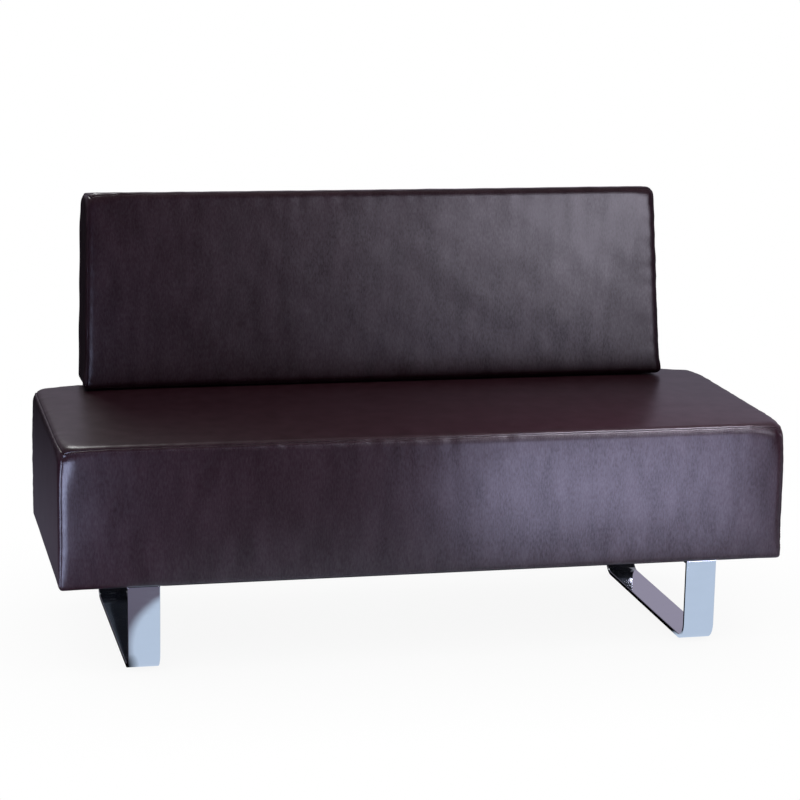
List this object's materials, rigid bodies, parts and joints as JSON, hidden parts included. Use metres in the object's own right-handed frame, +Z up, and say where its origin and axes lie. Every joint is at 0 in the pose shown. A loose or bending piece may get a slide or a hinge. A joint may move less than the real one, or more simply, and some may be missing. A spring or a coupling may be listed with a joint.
{
  "type": "waiting room sofa",
  "caption": "Padded box seat on chromed flat-bar sled legs with a narrower leaning back cushion, for waiting rooms and lobbies.",
  "frame": {"origin": "on the floor, under the middle of the sofa's outer box", "axes": "+X along the sofa to the right as seen from the front, -Y out of its front, +Z up"},
  "size_m": [1.4054, 0.6633, 0.827],
  "materials": {
    "faux_leather": "satin",
    "chromed_bar": "polished",
    "zinc_steel": "satin",
    "black_steel": "satin",
    "plywood": "matte",
    "timber": "matte",
    "foam": "matte",
    "dust_cloth": "matte",
    "glide_plastic": "matte"
  },
  "bodies": {
    "root": {"seat_cover": "faux_leather", "seat_foam": "foam", "seat_front_padding": "foam", "seat_left_padding": "foam", "seat_right_padding": "foam", "seat_deck": "plywood", "seat_front_rail": "plywood", "seat_rear_rail": "plywood", "seat_left_rail": "plywood", "seat_right_rail": "plywood", "seat_centre_rail": "plywood", "leg_rail_left": "timber", "leg_rail_right": "timber", "corner_block_front_left": "timber", "corner_block_front_right": "timber", "corner_block_rear_left": "timber", "corner_block_rear_right": "timber", "dust_cover": "dust_cloth", "leg_left": "chromed_bar", "leg_right": "chromed_bar", "leg_plate_left": "black_steel", "leg_plate_right": "black_steel", "leg_bolt_left_1": "zinc_steel", "leg_bolt_left_2": "zinc_steel", "leg_bolt_left_3": "zinc_steel", "leg_bolt_left_4": "zinc_steel", "leg_bolt_right_1": "zinc_steel", "leg_bolt_right_2": "zinc_steel", "leg_bolt_right_3": "zinc_steel", "leg_bolt_right_4": "zinc_steel", "tee_nut_left_1": "zinc_steel", "tee_nut_left_2": "zinc_steel", "tee_nut_left_3": "zinc_steel", "tee_nut_left_4": "zinc_steel", "tee_nut_right_1": "zinc_steel", "tee_nut_right_2": "zinc_steel", "tee_nut_right_3": "zinc_steel", "tee_nut_right_4": "zinc_steel", "glide_front_left": "glide_plastic", "glide_rear_left": "glide_plastic", "glide_front_right": "glide_plastic", "glide_rear_right": "glide_plastic", "back_cover": "faux_leather", "back_foam": "foam", "back_board": "plywood", "back_top_rail": "timber", "back_bottom_rail": "timber", "back_left_stile": "timber", "back_right_stile": "timber", "back_rear_panel": "faux_leather", "back_bracket_left": "black_steel", "back_bracket_right": "black_steel", "bracket_bolt_left_1": "zinc_steel", "bracket_bolt_left_2": "zinc_steel", "bracket_bolt_right_1": "zinc_steel", "bracket_bolt_right_2": "zinc_steel", "bracket_screw_left_1": "zinc_steel", "bracket_screw_left_2": "zinc_steel", "bracket_screw_right_1": "zinc_steel", "bracket_screw_right_2": "zinc_steel"}
  },
  "joints": []
}
